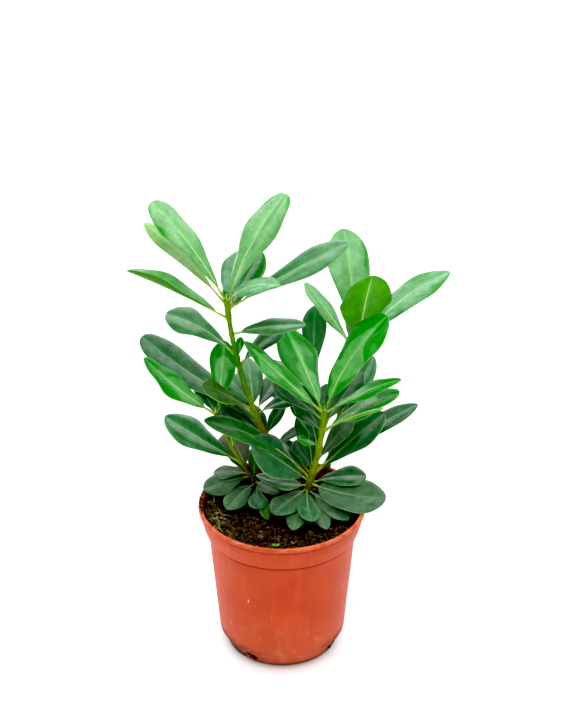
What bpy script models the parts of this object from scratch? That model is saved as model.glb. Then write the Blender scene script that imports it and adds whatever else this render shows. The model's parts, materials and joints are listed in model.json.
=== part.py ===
"""A young potted pittosporum: five leafy stems standing in the soil of a round plastic nursery pot.

The pot stands on z = 0 with its axis on the Z axis, and the plant is seen from -Y.
Sizes here are in millimetres and degrees, and MM turns them into Blender's metres.
"""

import math
import random
from collections import namedtuple

import bmesh
import bpy
from mathutils import Matrix, Vector, noise

MM = 0.001
GAP = 0.3  # clearance between neighbouring solids

# Driving dimensions of the pot. It is round, flares at the collar and narrows to its foot.
POT_HEIGHT = 115.0
RIM_RADIUS = 60.0
COLLAR_RADIUS = 54.8
COLLAR_HEIGHT = 20.0
WALL_TOP_RADIUS = 52.8
WALL_FOOT_RADIUS = 45.6
FOOT_RADIUS = 40.3
CHAMFER_HEIGHT = 12.0
WALL = 1.8
LIP_HEIGHT = 3.0
FLOOR = 2.2
POT_STEPS = 48
DRAIN_COUNT = 4
DRAIN_FIRST_ANGLE = -121.0
DRAIN_WIDTH = 9.0
DRAIN_HEIGHT = 5.5
DRAIN_DEPTH = 9.0

# The soil fills the pot to this height, with a crumbly top.
SOIL_TOP = 105.0
SOIL_BUMP = 1.5
SOIL_RINGS = 6
SOIL_STEPS = 36
SOIL_PAD_RADIUS = 9.0  # the crumbs die out this close to a stem

# Leaves are lofted through these shares of their length: a stalk, then a blade widest past its middle.
STALK_SHARE = 0.13
STATIONS = (0.0, 0.07, 0.14, 0.28, 0.42, 0.56, 0.69, 0.81, 0.91, 0.97)
STALK_HALF_WIDTH = 1.1
STALK_THICKNESS = 2.0
BLADE_THICKNESS = 1.15
FOLD = 7.0  # each half of a blade rises this much from the midrib
PATH_STEPS = 40

BUD_LENGTH = 9.0
BUD_RADIUS = 1.7

# A stem runs from its foot in the soil to its tip. Places are seen from above, and bow pushes its middle.
Stem = namedtuple("Stem", "foot tip height bow foot_radius tip_radius")

# A leaf leaves its stem at a height above the soil, along heading, seen from above (0 is +X, 90 is +Y),
# and rises from the level. Both are of the straight line from its base to its tip. droop bends it down,
# and roll tips its left side up. twist adds to the roll towards the tip, and sweep bends the leaf
# sideways. A higher peak sets the widest place nearer the tip, and a lower round makes the tip blunter.
Leaf = namedtuple(
    "Leaf", "height heading rise length width droop roll twist sweep peak round", defaults=(0, 0, 1.7, 0.6),
)

# A leafy length of a stem, between two heights above the soil, with its leaves from low to high.
Foliage = namedtuple("Foliage", "stem low high leaves")

STEMS = {
    "left": Stem((10, 28), (-38, 20), 163, (-9, 0), 2.9, 2.1),
    "right": Stem((15.5, 17), (30, 17), 76, (2.5, 0), 2.9, 2.3),
    "rear_right": Stem((31, 36), (54, 58), 108, (-1, 0), 2.7, 2.0),
    "rear_left": Stem((20, 46), (22, 54), 74, (0, 0), 2.6, 2.0),
    "low_left": Stem((-15, 27), (-47.5, 21), 72, (-2, 0), 2.0, 1.5),
}

FOLIAGE = {
    "left_lower_foliage": Foliage("left", 34, 78, [
        Leaf(39.5, 44, 10, 32, 12, 0, -3),
        Leaf(42, 167, 10, 32, 16, 10, 0),
        Leaf(49, 62, 30, 31, 12, 0, -5, sweep=9, peak=1.4),
        Leaf(54, 165, 5, 28, 12, 10, 0),
        Leaf(65, 204, 41, 56, 24, 30, -4, twist=-12, sweep=20, peak=2.6),
        Leaf(68, 25, 8, 39, 17, 30, 13, sweep=14),
        Leaf(70, 65, 15, 46, 18, 5, 0),
        Leaf(72.5, 154, 23, 98, 27, -20, -17, peak=1.6, round=0.4),
        Leaf(73, 136, 33, 34, 18, 10, 0),
        Leaf(72, 97, 24, 47, 20, 4, 8, peak=1.3),
    ]),
    "left_middle_foliage": Foliage("left", 102, 137, [
        Leaf(109, 33, 28, 42, 18, 20, 10, sweep=13),
        Leaf(115, 60, 70, 16, 7, 0, 0),
        Leaf(117, 164, 27, 59, 28, 40, -12, peak=2.1, round=0.55),
        Leaf(135, -7, 12, 53, 18, 20, 17, twist=-6, peak=1.2, round=0.55),
    ]),
    "left_crown_foliage": Foliage("left", 145, 163, [
        Leaf(147.5, 185, 30, 80, 27, 14, 0, twist=25, sweep=12, peak=1.4),
        Leaf(155, 9, 28, 95, 27, 11, 11, sweep=-6, round=0.55),
        Leaf(150, 82, 6, 46, 20, 10, 0),
        Leaf(152, 52, 42, 50, 21, 10, 0),
        Leaf(154.5, 76, 21, 61, 35, 2, -5, twist=-8, sweep=-10, peak=1.4, round=0.55),
        Leaf(158, 152, 37, 81, 19, 14, 0, peak=2.0),
        Leaf(159.5, 43, 50, 87, 33, 33, -10, round=0.4),
        Leaf(160, 151, 47, 87, 28, 23, -3, peak=2.2, round=0.4),
        Leaf(161.5, -30, 28, 50, 21, 52, 20, twist=-10, sweep=-13, peak=1.2),
    ]),
    "right_foot_foliage": Foliage("right", 5, 36, [
        Leaf(8, -102, -3, 47, 16, 17, 4, peak=1.3),
        Leaf(8, -72, -4, 46, 14, 15, -4, peak=1.4),
        Leaf(10, -48, -6, 44, 19, 11, -2),
        Leaf(11, -126, -1, 41, 21, 15, -6, peak=1.5),
        Leaf(10.5, -86, 1, 44, 17, 17, -6, sweep=-16),
        Leaf(16, -18, -1, 58, 37, -12, 9, sweep=-30, peak=1.3, round=0.5),
        Leaf(14, 194, 20, 42, 23, -9, -4, twist=16, sweep=25, peak=1.2),
        Leaf(15.5, 5, 5, 42, 24, 25, 8, peak=1.8),
        Leaf(17, 195, 43, 60, 36, 5, -28, sweep=19, peak=1.4, round=0.6),
        Leaf(19, 188, 36, 96, 20, 38, -20, peak=2.0),
        Leaf(21, 22, 36, 70, 28, 5, 11),
        Leaf(22, 127, 20, 39, 15, 5, 0),
        Leaf(24, 24, 24, 92, 20, 16, 9, sweep=9),
        Leaf(25, 115, 20, 31, 14, 5, 0),
        Leaf(25, 102, 55, 46, 20, 5, 0),
        Leaf(32, 40, 36, 43, 18, 5, 0),
    ]),
    "right_crown_foliage": Foliage("right", 42, 76, [
        Leaf(43, 116, 58, 48, 24, 5, 0),
        Leaf(46, 82, 35, 50, 16, 5, 0),
        Leaf(47, 181, 24, 18, 10, -5, -9),
        Leaf(62, 46, 38, 50, 24, 5, 0),
        Leaf(60, -35, 35, 62, 10, 15, 0),
        Leaf(59, 141, 26, 32, 14, 0, -6, peak=1.3),
        Leaf(57, -7, 34, 66, 32, 21, 1, sweep=15, round=0.45),
        Leaf(68, 148, 26, 47, 22, 5, 0),
        Leaf(74, -9, 31, 63, 19, 16, 5, sweep=6, peak=1.3),
        Leaf(74.5, 20, 56, 84, 32, 32, 13, sweep=5, peak=1.5, round=0.45),
        Leaf(71.5, 119, 38, 74, 36, 15, 13, twist=9, round=0.55),
        Leaf(74, 181, 46, 81, 25, -4, -9, peak=1.2),
    ]),
    "rear_right_foliage": Foliage("rear_right", 44, 66, [
        Leaf(56, 60, 24, 56, 18, -4, 8, sweep=-8, peak=1.2),
    ]),
    "rear_right_crown_foliage": Foliage("rear_right", 90, 108, [
        Leaf(101, 149, 47, 62, 19, 10, 3),
        Leaf(105.5, 26, 30, 88, 28, 30, 12, twist=-8, sweep=13, peak=1.4, round=0.65),
        Leaf(107, 99, 48, 87, 34, 11, 8, sweep=-7, round=0.55),
        Leaf(107.5, -58, 75, 64, 39, 5, -16, sweep=-13, peak=1.3, round=0.6),
    ]),
    "rear_left_foliage": Foliage("rear_left", 50, 74, [
        Leaf(73, 87, 57, 60, 19, 6, 0, peak=2.0),
    ]),
    "low_left_foot_foliage": Foliage("low_left", 5, 20, [
        Leaf(7, -79, -5, 40, 9, 15, 0),
        Leaf(8, -85, -3, 30, 15, 9, 2, sweep=-11, peak=1.9),
        Leaf(11, -44, 4, 26, 13, 15, 12, sweep=-8, peak=1.2),
        Leaf(9.5, -124, -6, 36, 17, 24, -12, sweep=-8, peak=1.5),
        Leaf(12, 80, 78, 27, 9, 10, 4, peak=1.2),
        Leaf(16, -163, -8, 36, 22, 10, -14, peak=1.5),
        Leaf(18, 168, -5, 27, 18, 20, -2, peak=1.4),
        Leaf(18, 115, 22, 40, 26, 11, -3, peak=2),
    ]),
    "low_left_foliage": Foliage("low_left", 25, 72, [
        Leaf(27, 160, 25, 66, 28, -1, -12, sweep=6, peak=1.6),
        Leaf(40, -120, 75, 14, 6, 0, 0),
        Leaf(69, 67, 74, 56, 22, -8, 0, sweep=-8, round=0.65),
        Leaf(71, 178, 42, 67, 27, -17, -14, twist=8, peak=1.2, round=0.65),
    ]),
}

# The far side is filled by a rule: so many leaves of about this length, between two headings and two
# heights. The seed sets how they vary.
Behind = namedtuple("Behind", "count length first_heading last_heading low high seed")
BEHIND = {
    "left_lower_foliage": Behind(4, 46, 105, 150, 40, 68, 1),
    "rear_right_foliage": Behind(2, 44, 55, 80, 46, 60, 3),
    "rear_right_crown_foliage": Behind(4, 50, 50, 84, 93, 104, 4),
    "rear_left_foliage": Behind(5, 48, 90, 150, 52, 70, 5),
    "low_left_foot_foliage": Behind(2, 28, 70, 130, 12, 16, 6),
    "low_left_foliage": Behind(2, 38, 85, 125, 60, 67, 8),
}
GOLDEN_SHARE = 0.618

# The bare lengths of each stem, between two heights above the soil.
BARE_STEMS = {
    "left_stem": ("left", 0, 34),
    "left_middle_stem": ("left", 78, 102),
    "left_upper_stem": ("left", 137, 145),
    "right_stem_foot": ("right", 0, 5),
    "right_stem": ("right", 36, 42),
    "rear_right_stem": ("rear_right", 0, 44),
    "rear_right_upper_stem": ("rear_right", 66, 90),
    "rear_left_stem": ("rear_left", 0, 50),
    "low_left_stem_foot": ("low_left", 0, 5),
    "low_left_stem": ("low_left", 20, 25),
}
STEM_SIDES = 8
STEM_STEP = 6.0
UPRIGHT = 2.0  # a foot stands upright this far, so that its cut end lies flat on the soil
FLARE_HEIGHT = 6.0
FLARE = 0.7  # the foot of a stem is this share wider

COLOURS = {
    "pot_plastic": ((0.62, 0.12, 0.04), 0.5),
    "soil": ((0.030, 0.018, 0.010), 0.95),
    "stem_bark": ((0.16, 0.20, 0.02), 0.6),
    "leaf_green": ((0.03, 0.18, 0.05), 0.4),
}


def start_scene():
    for obj in list(bpy.data.objects):
        bpy.data.objects.remove(obj)
    parts = bpy.data.collections.new("potted_pittosporum")
    bpy.context.scene.collection.children.link(parts)
    return parts


def materials():
    made = {}
    for name, (colour, roughness) in COLOURS.items():
        material = bpy.data.materials.new(name)
        material.use_nodes = True
        shader = material.node_tree.nodes["Principled BSDF"]
        shader.inputs["Base Color"].default_value = (*colour, 1.0)
        shader.inputs["Roughness"].default_value = roughness
        made[name] = material
    return made


def object_from(bm, name, collection, material):
    bmesh.ops.recalc_face_normals(bm, faces=bm.faces)
    mesh = bpy.data.meshes.new(name)
    bm.to_mesh(mesh)
    bm.free()
    obj = bpy.data.objects.new(name, mesh)
    collection.objects.link(obj)
    mesh.materials.append(material)
    return obj


def applied(obj):
    """Bakes the modifiers of obj into its mesh."""
    bpy.context.view_layer.update()
    graph = bpy.context.evaluated_depsgraph_get()
    baked = bpy.data.meshes.new_from_object(obj.evaluated_get(graph))
    obj.modifiers.clear()
    obj.data = baked
    return obj


def pot_outline():
    """The closed section of the pot wall, from the middle of its floor up the outside and down the inside."""
    top = POT_HEIGHT
    step = top - COLLAR_HEIGHT
    outside = [
        (FOOT_RADIUS - 1.5, 0.0),
        (FOOT_RADIUS, 0.8),
        (WALL_FOOT_RADIUS, CHAMFER_HEIGHT),
        (WALL_FOOT_RADIUS + 0.1, CHAMFER_HEIGHT + 0.8),
        (WALL_TOP_RADIUS, step - 0.6),
        (COLLAR_RADIUS, step + 0.4),
        (RIM_RADIUS - 2.3, top - COLLAR_HEIGHT / 2),
        (RIM_RADIUS - 1.3, top - LIP_HEIGHT - 0.6),
        (RIM_RADIUS - 0.2, top - LIP_HEIGHT),
        (RIM_RADIUS, top - 1.2),
        (RIM_RADIUS - 0.9, top),
    ]
    inside = [
        (RIM_RADIUS - WALL - 0.6, top),
        (RIM_RADIUS - WALL - 1.6, top - LIP_HEIGHT),
        (RIM_RADIUS - 2.3 - WALL, top - COLLAR_HEIGHT / 2),
        (COLLAR_RADIUS - WALL, step + 0.4),
        (WALL_TOP_RADIUS - WALL, step - 0.6),
        (WALL_FOOT_RADIUS - WALL, CHAMFER_HEIGHT + 0.8),
        (FOOT_RADIUS - WALL, FLOOR),
    ]
    return outside, inside


def add_pot(collection, cutters, material):
    outside, inside = pot_outline()
    section = [(0.0, 0.0), *outside, *inside, (0.0, FLOOR)]
    bm = bmesh.new()
    verts = [bm.verts.new((r * MM, 0, z * MM)) for r, z in reversed(section)]
    for a, b in zip(verts, verts[1:]):
        bm.edges.new((a, b))
    pot = object_from(bm, "pot", collection, material)
    screw = pot.modifiers.new("turn", "SCREW")
    screw.steps = POT_STEPS
    screw.render_steps = POT_STEPS
    screw.use_merge_vertices = True
    screw.merge_threshold = 0.00005
    applied(pot)
    for k in range(DRAIN_COUNT):
        angle = math.radians(DRAIN_FIRST_ANGLE + 360.0 / DRAIN_COUNT * k)
        bm = bmesh.new()
        bmesh.ops.create_cube(bm, size=1.0)
        size = Vector((DRAIN_DEPTH, DRAIN_WIDTH, DRAIN_HEIGHT)) * MM
        place = Vector((FOOT_RADIUS + 1.0, 0, FLOOR + DRAIN_HEIGHT / 2 + 0.8)) * MM
        bmesh.ops.transform(
            bm,
            matrix=Matrix.Rotation(angle, 4, "Z") @ Matrix.Translation(place) @ Matrix.Diagonal((*size, 1)),
            verts=bm.verts,
        )
        hole = object_from(bm, f"drain_cutter_{k}", cutters, material)
        hole.hide_render = True
        hole.display_type = "WIRE"
        cut = pot.modifiers.new(f"drain_{k}", "BOOLEAN")
        cut.object = hole
        cut.operation = "DIFFERENCE"
    applied(pot)
    pot.data.shade_smooth()
    pot.data.set_sharp_from_angle(angle=math.radians(35))
    return pot


def soil_height(x, y):
    """The bumpy top of the soil, level where a stem stands."""
    near = min(math.hypot(x - s.foot[0], y - s.foot[1]) for s in STEMS.values())
    calm = min(1.0, max(0.0, near / SOIL_PAD_RADIUS - 0.5))
    return SOIL_TOP + SOIL_BUMP * calm * noise.noise(Vector((x * 0.09, y * 0.09, 3.7)))


def inner_radius(z):
    """The radius of the pot's inside at height z."""
    _, inside = pot_outline()
    wall = sorted((height, radius) for radius, height in inside)
    for (low, r_low), (high, r_high) in zip(wall, wall[1:]):
        if low <= z <= high:
            return r_low + (r_high - r_low) * (z - low) / (high - low)
    return wall[-1][1]


def add_soil(collection, material):
    """The potting soil: a solid that follows the inside of the pot, with crumbs on top."""
    side_heights = [FLOOR + GAP, CHAMFER_HEIGHT + 0.8, POT_HEIGHT - COLLAR_HEIGHT - 0.8, SOIL_TOP - SOIL_BUMP]
    bm = bmesh.new()
    rings = []
    for z in side_heights:
        # A chord of a many-sided wall lies inside its circle, so the soil keeps a little further off.
        radius = (inner_radius(z) - GAP * 2) * math.cos(math.pi / POT_STEPS)
        rings.append([(radius, z)] * SOIL_STEPS)
    top_radius = rings[-1][0][0] - 0.4
    loops = [[bm.verts.new(circle_point(r, k, z)) for k, (r, z) in enumerate(ring)] for ring in rings]
    for n in range(SOIL_RINGS):
        radius = top_radius * (1 - n / SOIL_RINGS)
        loop = []
        for k in range(SOIL_STEPS):
            place = circle_point(radius, k, 0)
            place.z = soil_height(place.x / MM, place.y / MM) * MM
            loop.append(bm.verts.new(place))
        loops.append(loop)
    for lower, upper in zip(loops, loops[1:]):
        for k in range(SOIL_STEPS):
            after = (k + 1) % SOIL_STEPS
            bm.faces.new((lower[k], lower[after], upper[after], upper[k]))
    centre = bm.verts.new((0, 0, soil_height(0, 0) * MM))
    for k in range(SOIL_STEPS):
        bm.faces.new((loops[-1][k], loops[-1][(k + 1) % SOIL_STEPS], centre))
    bm.faces.new(reversed(loops[0]))
    return object_from(bm, "potting_soil", collection, material)


def circle_point(radius, k, z):
    angle = 2 * math.pi * k / SOIL_STEPS
    return Vector((radius * math.cos(angle), radius * math.sin(angle), z)) * MM


def stem_point(stem, height):
    """The centre of a stem at a height above the soil, in millimetres."""
    t = max(0.0, height - UPRIGHT) / (stem.height - UPRIGHT)
    bow = 4 * t * (1 - t)
    x = stem.foot[0] + (stem.tip[0] - stem.foot[0]) * t + stem.bow[0] * bow
    y = stem.foot[1] + (stem.tip[1] - stem.foot[1]) * t + stem.bow[1] * bow
    return Vector((x, y, SOIL_TOP + height))


def stem_radius(stem, height):
    radius = stem.foot_radius + (stem.tip_radius - stem.foot_radius) * height / stem.height
    return radius * (1 + FLARE * max(0.0, 1 - height / FLARE_HEIGHT) ** 2)


def stem_length(name, stem, low, high, collection, material):
    """One length of a stem between two heights, as a mesh tube with flat ends."""
    steps = max(1, round((high - low) / STEM_STEP))
    heights = [low + (high - low) * k / steps for k in range(steps + 1)]
    if low < UPRIGHT:
        heights = [low, UPRIGHT / 2, UPRIGHT, *heights[1:]]
    curve = bpy.data.curves.new(name, "CURVE")
    curve.dimensions = "3D"
    curve.bevel_depth = 1.0 * MM
    curve.bevel_resolution = STEM_SIDES // 2 - 2
    curve.use_fill_caps = True
    spline = curve.splines.new("POLY")
    spline.points.add(len(heights) - 1)
    for point, height in zip(spline.points, heights):
        point.co = (*(stem_point(stem, height) * MM), 1.0)
        point.radius = stem_radius(stem, height)
    guide = bpy.data.objects.new(name + "_guide", curve)
    collection.objects.link(guide)
    bpy.context.view_layer.update()
    graph = bpy.context.evaluated_depsgraph_get()
    mesh = bpy.data.meshes.new_from_object(guide.evaluated_get(graph))
    bpy.data.objects.remove(guide)
    bm = bmesh.new()
    bm.from_mesh(mesh)
    bmesh.ops.remove_doubles(bm, verts=bm.verts, dist=0.00002)
    bpy.data.meshes.remove(mesh)
    return object_from(bm, name, collection, material)


def leaf_path(base, leaf):
    """Points and directions along a leaf's midrib, PATH_STEPS of each, from base to tip."""
    points = [base.copy()]
    frames = []
    for k in range(PATH_STEPS + 1):
        s = k / PATH_STEPS
        heading = math.radians(leaf.heading + leaf.sweep * (0.5 - s))
        rise = math.radians(leaf.rise + leaf.droop * (0.5 - s))
        ahead = Vector((math.cos(heading) * math.cos(rise), math.sin(heading) * math.cos(rise), math.sin(rise)))
        level = Vector((-math.sin(heading), math.cos(heading), 0))
        above = ahead.cross(level)
        roll = math.radians(leaf.roll + leaf.twist * s)
        side = level * math.cos(roll) + above * math.sin(roll)
        frames.append((side, ahead.cross(side)))
        points.append(points[-1] + ahead * leaf.length / PATH_STEPS)
    return points[:-1], frames


def half_width(leaf, s):
    """Half the width of a leaf at share s of its length: a thin stalk, then a blade."""
    if s <= STALK_SHARE:
        return STALK_HALF_WIDTH
    t = (s - STALK_SHARE) / (1 - STALK_SHARE)
    blade = leaf.width / 2 * math.sin(math.pi * t**leaf.peak) ** leaf.round
    return max(blade, STALK_HALF_WIDTH * (1 - t))


def add_leaf(bm, base, leaf):
    """Lofts one leaf as a closed blade with a thin edge and a ridge under its midrib."""
    points, frames = leaf_path(base, leaf)
    rise = math.tan(math.radians(FOLD))
    loops = []
    for s in STATIONS:
        k = round(s * PATH_STEPS)
        side, above = frames[k]
        wide = half_width(leaf, s)
        thick = STALK_THICKNESS if s < STALK_SHARE else BLADE_THICKNESS
        lift = above * (wide * rise if s > STALK_SHARE else 0.0)
        section = (
            points[k] + side * wide + lift,
            points[k] + above * thick / 2,
            points[k] - side * wide + lift,
            points[k] - above * thick / 2,
        )
        loops.append([bm.verts.new(p * MM) for p in section])
    for lower, upper in zip(loops, loops[1:]):
        for k in range(4):
            bm.faces.new((lower[k], upper[k], upper[k - 1], lower[k - 1]))
    tip = bm.verts.new(points[-1] * MM)
    for k in range(4):
        bm.faces.new((loops[-1][k], tip, loops[-1][k - 1]))
    bm.faces.new(loops[0])


def add_bud(bm, base, ahead):
    """The pointed bud at the tip of a stem."""
    turn = Vector((0, 0, 1)).rotation_difference(ahead).to_matrix().to_4x4()
    place = Matrix.Translation((base + ahead * (BUD_LENGTH / 2 - 2.0)) * MM)
    bmesh.ops.create_cone(
        bm, cap_ends=True, segments=6, radius1=BUD_RADIUS * MM, radius2=0.4 * MM, depth=BUD_LENGTH * MM,
        matrix=place @ turn,
    )


def leaves_of(name):
    """The leaves of a mass: those that are listed, and those that the rule grows on its far side."""
    leaves = list(FOLIAGE[name].leaves)
    if name in BEHIND:
        rule = BEHIND[name]
        rng = random.Random(rule.seed)
        for k in range(rule.count):
            length = rule.length * rng.uniform(0.85, 1.1)
            leaves.append(Leaf(
                height=rule.low + (rule.high - rule.low) * k / max(1, rule.count - 1),
                heading=rule.first_heading
                + (rule.last_heading - rule.first_heading) * ((k + 0.5) * GOLDEN_SHARE % 1.0),
                rise=rng.uniform(5, 30),
                length=length,
                width=length * rng.uniform(0.38, 0.44),
                droop=rng.uniform(5, 15),
                roll=rng.uniform(-10, 10),
            ))
    return leaves


def add_foliage(name, collection, stem_material, leaf_material):
    """A mass of leaves: one length of stem with its leaves, fused into one solid."""
    foliage = FOLIAGE[name]
    stem = STEMS[foliage.stem]
    low = foliage.low + GAP
    twig = stem_length(name, stem, low, foliage.high, collection, leaf_material)
    pieces = bpy.data.collections.new(name + "_pieces")
    bpy.context.scene.collection.children.link(pieces)
    for k, leaf in enumerate(leaves_of(name)):
        bm = bmesh.new()
        add_leaf(bm, stem_point(stem, leaf.height), leaf)
        object_from(bm, f"{name}_leaf_{k}", pieces, leaf_material)
    if foliage.high == stem.height:
        bm = bmesh.new()
        ahead = (stem_point(stem, stem.height) - stem_point(stem, stem.height - 5)).normalized()
        add_bud(bm, stem_point(stem, stem.height), ahead)
        object_from(bm, f"{name}_bud", pieces, leaf_material)
    union = twig.modifiers.new("fuse", "BOOLEAN")
    union.operation = "UNION"
    union.operand_type = "COLLECTION"
    union.collection = pieces
    union.solver = "MANIFOLD"
    applied(twig)
    for piece in list(pieces.objects):
        bpy.data.objects.remove(piece)
    bpy.data.collections.remove(pieces)
    return twig


def main():
    parts = start_scene()
    cutters = bpy.data.collections.new("cutters")
    bpy.context.scene.collection.children.link(cutters)
    made = materials()
    add_pot(parts, cutters, made["pot_plastic"])
    add_soil(parts, made["soil"])
    for name, (stem_name, low, high) in BARE_STEMS.items():
        stem_length(name, STEMS[stem_name], low + GAP, high, parts, made["stem_bark"])
    for name in FOLIAGE:
        add_foliage(name, parts, made["stem_bark"], made["leaf_green"])


main()
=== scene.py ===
"""The looks of a young potted pittosporum: moulded pot, crumbly soil, green stems and waxy leaves.

Lengths are in millimetres and angles in degrees unless a line says otherwise; MM turns them into metres.
"""

import json
import math
import random
from collections import namedtuple

import bmesh
import bpy
from mathutils import Matrix, Vector, noise

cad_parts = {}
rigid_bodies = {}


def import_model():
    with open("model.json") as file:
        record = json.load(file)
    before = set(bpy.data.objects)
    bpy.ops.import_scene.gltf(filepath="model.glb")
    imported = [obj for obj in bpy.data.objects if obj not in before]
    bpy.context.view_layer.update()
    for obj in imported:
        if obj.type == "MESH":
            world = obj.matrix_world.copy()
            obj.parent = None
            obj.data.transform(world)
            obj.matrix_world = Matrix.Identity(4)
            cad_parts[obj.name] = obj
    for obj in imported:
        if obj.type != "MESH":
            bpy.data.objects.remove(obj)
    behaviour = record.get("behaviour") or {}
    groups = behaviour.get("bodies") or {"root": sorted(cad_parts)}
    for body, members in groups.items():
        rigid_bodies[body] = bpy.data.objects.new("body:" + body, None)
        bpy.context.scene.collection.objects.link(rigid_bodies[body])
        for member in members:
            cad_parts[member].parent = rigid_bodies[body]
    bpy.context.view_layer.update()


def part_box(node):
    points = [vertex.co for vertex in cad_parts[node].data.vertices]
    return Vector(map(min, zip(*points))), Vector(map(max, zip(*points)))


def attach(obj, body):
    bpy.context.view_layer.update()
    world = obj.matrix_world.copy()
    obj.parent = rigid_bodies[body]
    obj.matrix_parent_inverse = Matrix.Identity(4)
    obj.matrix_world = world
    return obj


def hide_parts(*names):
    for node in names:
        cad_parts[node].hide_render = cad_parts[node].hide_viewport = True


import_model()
MM = 0.001


# The camera stands in front of the plant and looks down on it, as for a catalogue picture. Its distance
# and tilt were fitted to the ellipses that the rim and the foot of the pot make in the picture.
CAMERA_DISTANCE = 1400.0
CAMERA_ELEVATION = 33.5
CAMERA_TILT = 29.3
CAMERA_SIDE = 2.1
LENS = 97.99


def placed(name, data):
    obj = bpy.data.objects.new(name, data)
    bpy.context.scene.collection.objects.link(obj)
    return obj


rim_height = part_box("pot")[1].z
camera = placed("camera", bpy.data.cameras.new("camera"))
camera.data.lens = LENS
camera.location = (
    CAMERA_SIDE * MM,
    -CAMERA_DISTANCE * MM * math.cos(math.radians(CAMERA_ELEVATION)),
    rim_height + CAMERA_DISTANCE * MM * math.sin(math.radians(CAMERA_ELEVATION)),
)
camera.rotation_euler = (math.radians(90 - CAMERA_TILT), 0, 0)
bpy.context.scene.camera = camera


# The pot is injection moulded in terracotta-coloured polypropylene: a thin wall with a flared collar, a
# rolled lip, a slanted foot and drain holes cut through that slant. It is scuffed, and stained at its foot.
# Painted shade darkens the groove below its collar and the band under its lip, and a painted highlight lies
# along the lip.
POT_HEIGHT = 115.0
RIM_RADIUS = 60.0
COLLAR_RADIUS = 54.8
COLLAR_HEIGHT = 20.0
WALL_TOP_RADIUS = 52.8
WALL_FOOT_RADIUS = 45.6
FOOT_RADIUS = 40.3
CHAMFER_HEIGHT = 12.0
WALL = 1.8
LIP_HEIGHT = 3.0
FLOOR = 2.2
POT_STEPS = 180
DRAIN_COUNT = 4
DRAIN_FIRST_ANGLE = -121.0
DRAIN_WIDTH = 9.0
DRAIN_HEIGHT = 5.5
DRAIN_DEPTH = 9.0
DRAIN_CORNER = 1.6


class Socket:
    """One output in a material's node tree. Sums on it add Math nodes, and node() adds any other node."""

    def __init__(self, tree, output=None):
        self.tree = tree
        self.output = output

    def node(self, kind, settings=None, inputs=None, output=0):
        added = self.tree.nodes.new(kind)
        for name, value in (settings or {}).items():
            setattr(added, name, value)
        for name, value in (inputs or {}).items():
            if isinstance(value, Socket):
                self.tree.links.new(value.output, added.inputs[name])
            elif isinstance(value, tuple) and len(value) == 3 and added.inputs[name].type == "RGBA":
                added.inputs[name].default_value = (*value, 1.0)
            else:
                added.inputs[name].default_value = value
        return Socket(self.tree, added.outputs[output])

    def math(self, operation, *terms):
        return self.node("ShaderNodeMath", {"operation": operation}, dict(enumerate(terms)))

    def __add__(self, other):
        return self.math("ADD", self, other)

    __radd__ = __add__

    def __sub__(self, other):
        return self.math("SUBTRACT", self, other)

    def __rsub__(self, other):
        return self.math("SUBTRACT", other, self)

    def __mul__(self, other):
        return self.math("MULTIPLY", self, other)

    __rmul__ = __mul__

    def __abs__(self):
        return self.math("ABSOLUTE", self)

    def fraction(self):
        return self.math("FRACT", self)

    def larger(self, other):
        return self.math("MAXIMUM", self, other)

    def band(self, low, high):
        """0 below low and 1 above high, with a soft step between them."""
        return self.node(
            "ShaderNodeMapRange",
            {"interpolation_type": "SMOOTHSTEP"},
            {"Value": self, "From Min": low, "From Max": high},
        )

    def mix(self, none, full):
        """A colour from none to full, as this mask goes from 0 to 1."""
        return self.node("ShaderNodeMix", {"data_type": "RGBA"}, {0: self, 6: none, 7: full}, output=2)


class Finish:
    """A material: root adds its nodes, place is the point on the object, and feed links a shader socket."""

    def __init__(self, name, **values):
        self.material = bpy.data.materials.new(name)
        self.material.use_nodes = True
        self.root = Socket(self.material.node_tree)
        self.shader = self.material.node_tree.nodes["Principled BSDF"]
        self.place = self.root.node("ShaderNodeTexCoord", output="Object")
        for socket, value in values.items():
            self.shader.inputs[socket.replace("_", " ")].default_value = value

    def noise(self, size, detail=3.0, stretch=(1, 1, 1), seed=0.0):
        """A cloudy value around 0.5 whose blotches are about size millimetres across."""
        moved = self.root.node(
            "ShaderNodeMapping", None,
            {"Vector": self.place, "Location": (seed, seed * 1.7, 0), "Scale": stretch},
        )
        inputs = {"Vector": moved, "Scale": 1 / (size * MM), "Detail": detail}
        return self.root.node("ShaderNodeTexNoise", None, inputs)

    def axis(self, name, point=None):
        """One coordinate of a point, or of the place on the object, in metres."""
        return self.root.node("ShaderNodeSeparateXYZ", None, {0: point or self.place}, output=name)

    def cells(self, size, feature="F1"):
        """The distance to the nearest of many points, size millimetres apart."""
        inputs = {"Vector": self.place, "Scale": 1 / (size * MM)}
        return self.root.node("ShaderNodeTexVoronoi", {"feature": feature}, inputs, output="Distance")

    def feed(self, **links):
        for socket, value in links.items():
            self.material.node_tree.links.new(value.output, self.shader.inputs[socket.replace("_", " ")])

    def bump(self, height, depth):
        """Raises the surface by height, a mask, times depth in millimetres."""
        inputs = {"Height": height, "Strength": 1.0, "Distance": depth * MM}
        self.feed(Normal=self.root.node("ShaderNodeBump", None, inputs))


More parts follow.
